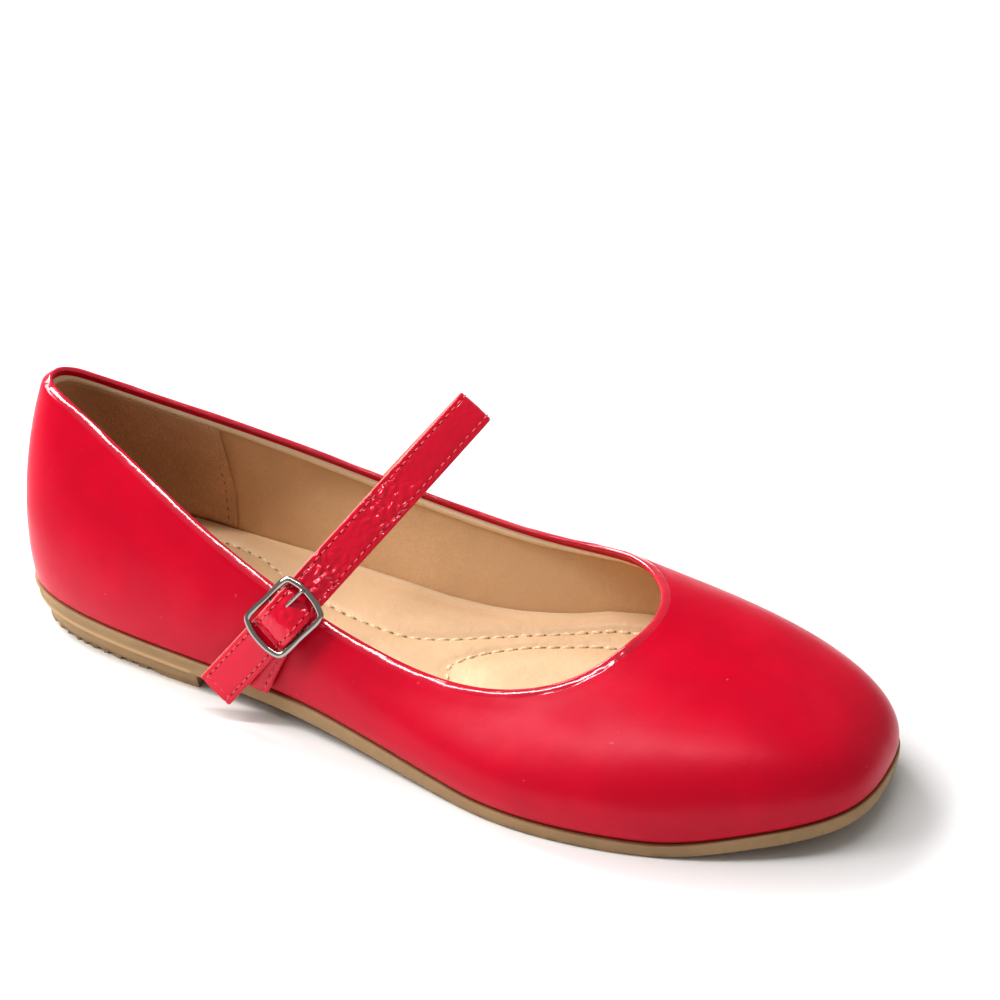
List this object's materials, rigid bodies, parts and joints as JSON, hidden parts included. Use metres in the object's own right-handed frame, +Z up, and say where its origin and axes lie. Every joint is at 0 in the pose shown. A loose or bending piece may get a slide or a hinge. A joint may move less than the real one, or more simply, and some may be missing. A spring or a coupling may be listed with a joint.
{
  "type": "mary jane shoe",
  "caption": "Low-heeled mary jane shoe: hollow patent leather upper with a round throat, instep strap with a wire buckle and rubber sole with a low heel.",
  "frame": {"origin": "middle of the heel's resting face, 30 mm ahead of the back of the heel seat", "axes": "+X forwards to the toe, +Y to the inner (medial) side of the right foot, +Z up"},
  "size_m": [0.2518, 0.0921, 0.0788],
  "materials": {
    "patent_leather": "red patent leather with a high-gloss coat",
    "gum_rubber": "khaki gum rubber, satin",
    "sock_leather": "pale tan lining leather, semi-matt",
    "heel_suede": "brown suede heel lining, matt",
    "sewing_thread": "waxed sewing thread",
    "polished_wire": "polished nickel-plated wire"
  },
  "bodies": {
    "root": {"upper": "patent_leather", "outsole": "gum_rubber", "heel": "gum_rubber", "insole": "sock_leather", "strap": "patent_leather", "buckle_tab": "patent_leather", "buckle_frame": "polished_wire", "buckle_prong": "polished_wire"}
  },
  "joints": []
}
